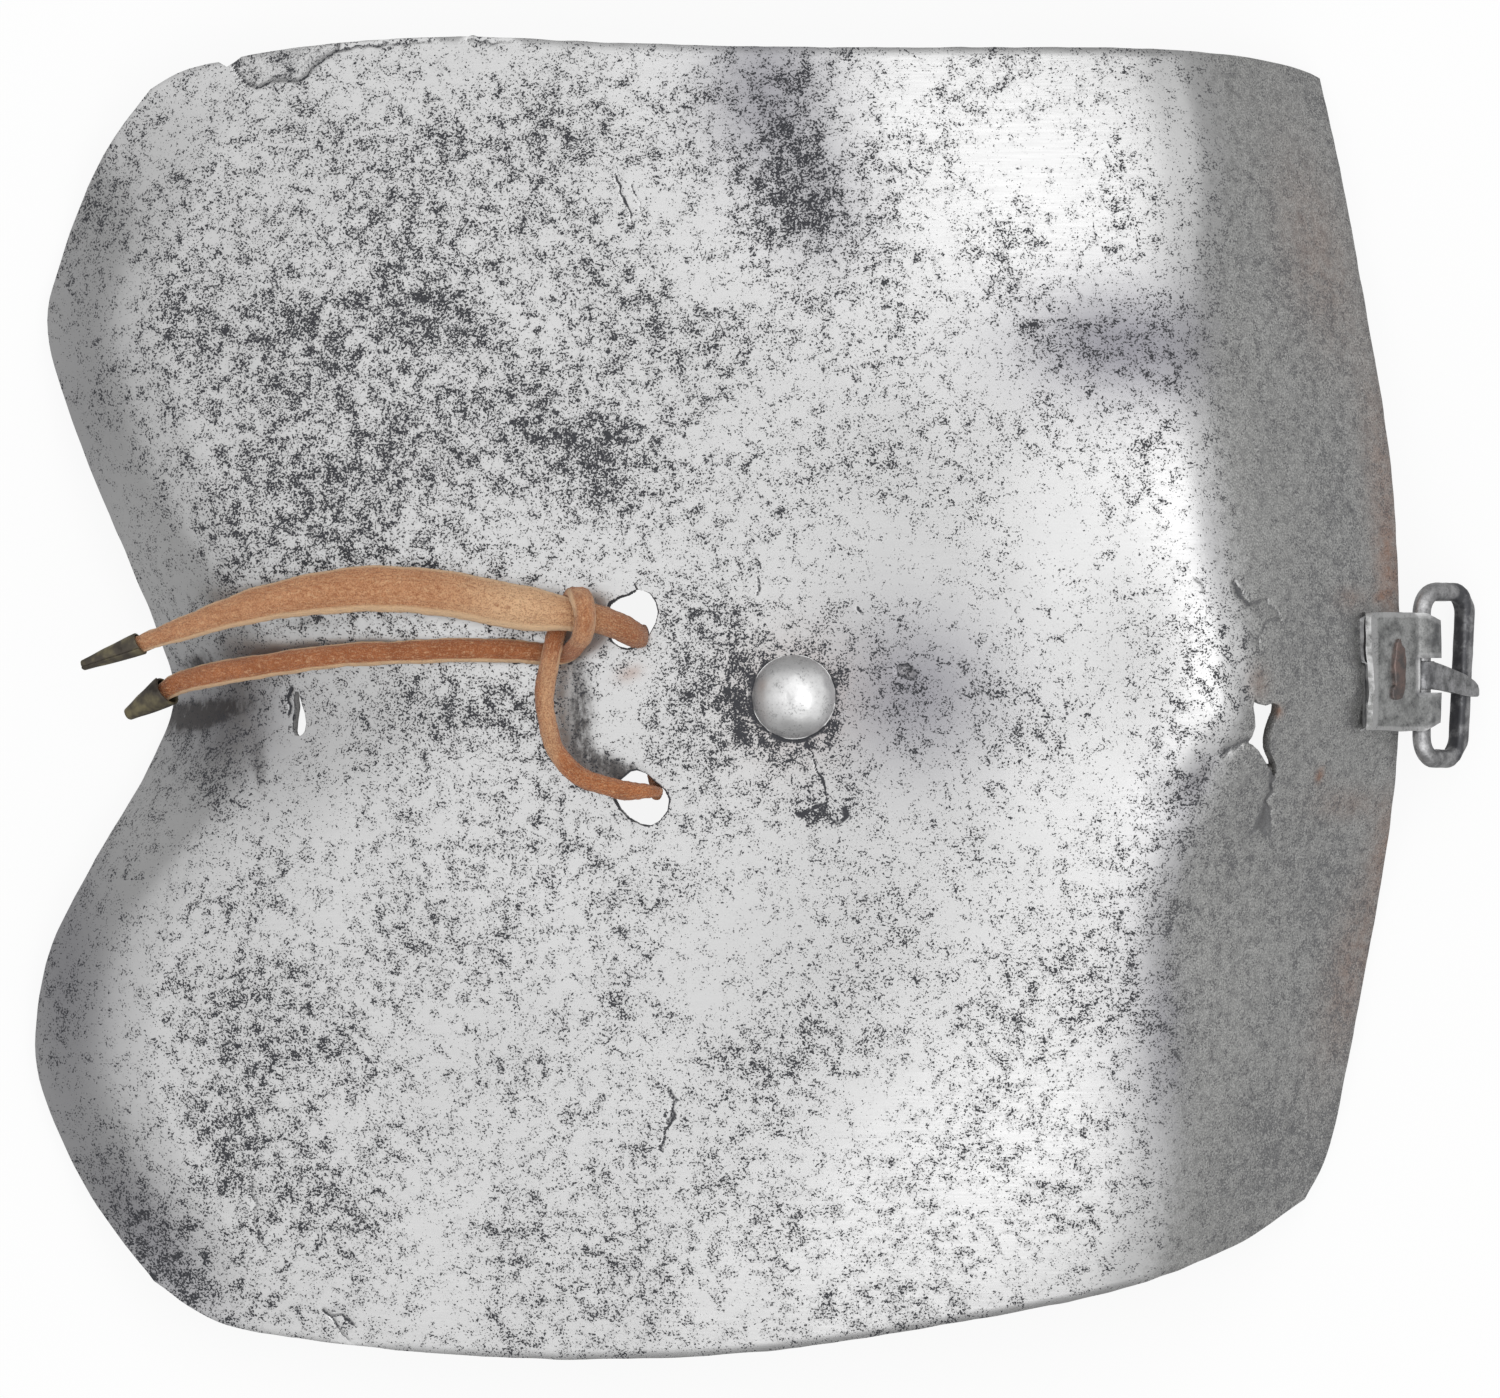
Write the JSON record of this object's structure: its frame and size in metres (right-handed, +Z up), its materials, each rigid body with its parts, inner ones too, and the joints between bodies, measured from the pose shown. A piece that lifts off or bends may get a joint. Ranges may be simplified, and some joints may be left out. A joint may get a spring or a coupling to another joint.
{
  "type": "elbow plate of plate armour",
  "caption": "Domed steel elbow plate with a notched wing, a domed rivet, a small hinged strap buckle at its rim and a leather lace with metal tips.",
  "frame": {"origin": "middle of the base of the plate and its fittings, as the plate lies hollow side down on a table; the free lace is left out of that box", "axes": "+Z up, out of the plate's outer face; +X across the elbow, towards the buckle; +Y along the arm, towards the straighter long rim"},
  "size_m": [0.1955, 0.1785, 0.0439],
  "materials": {
    "pitted_steel": "old polished steel, finely pitted",
    "rivet_steel": "worn bright steel",
    "fitting_steel": "dark worn steel",
    "tan_leather": "undyed tan thong, lighter at its cut edges",
    "red_leather": "darker rolled part of the same thong",
    "aged_brass": "brown patina, worn in spots"
  },
  "bodies": {
    "plate": {"elbow_plate": "pitted_steel", "dome_rivet": "rivet_steel", "rivet_rove": "fitting_steel", "buckle_chape": "fitting_steel", "chape_rivet": "fitting_steel", "lace_wide_end": "tan_leather", "lace_narrow_end": "red_leather", "lace_bridge": "red_leather", "aglet_upper": "aged_brass", "aglet_lower": "aged_brass"},
    "frame": {"buckle_frame": "fitting_steel"},
    "tongue": {"buckle_tongue": "fitting_steel"}
  },
  "joints": [
    {"name": "frame_hinge", "type": "hinge", "parent": "plate", "child": "frame", "pos_m": [0.08964, 0.0033, 0.01051], "axis": [0, -1, 0], "range_deg": [-60, 40]},
    {"name": "tongue_hinge", "type": "hinge", "parent": "frame", "child": "tongue", "pos_m": [0.08964, 0.0033, 0.01051], "axis": [0, -1, 0], "range_deg": [0, 70]}
  ]
}
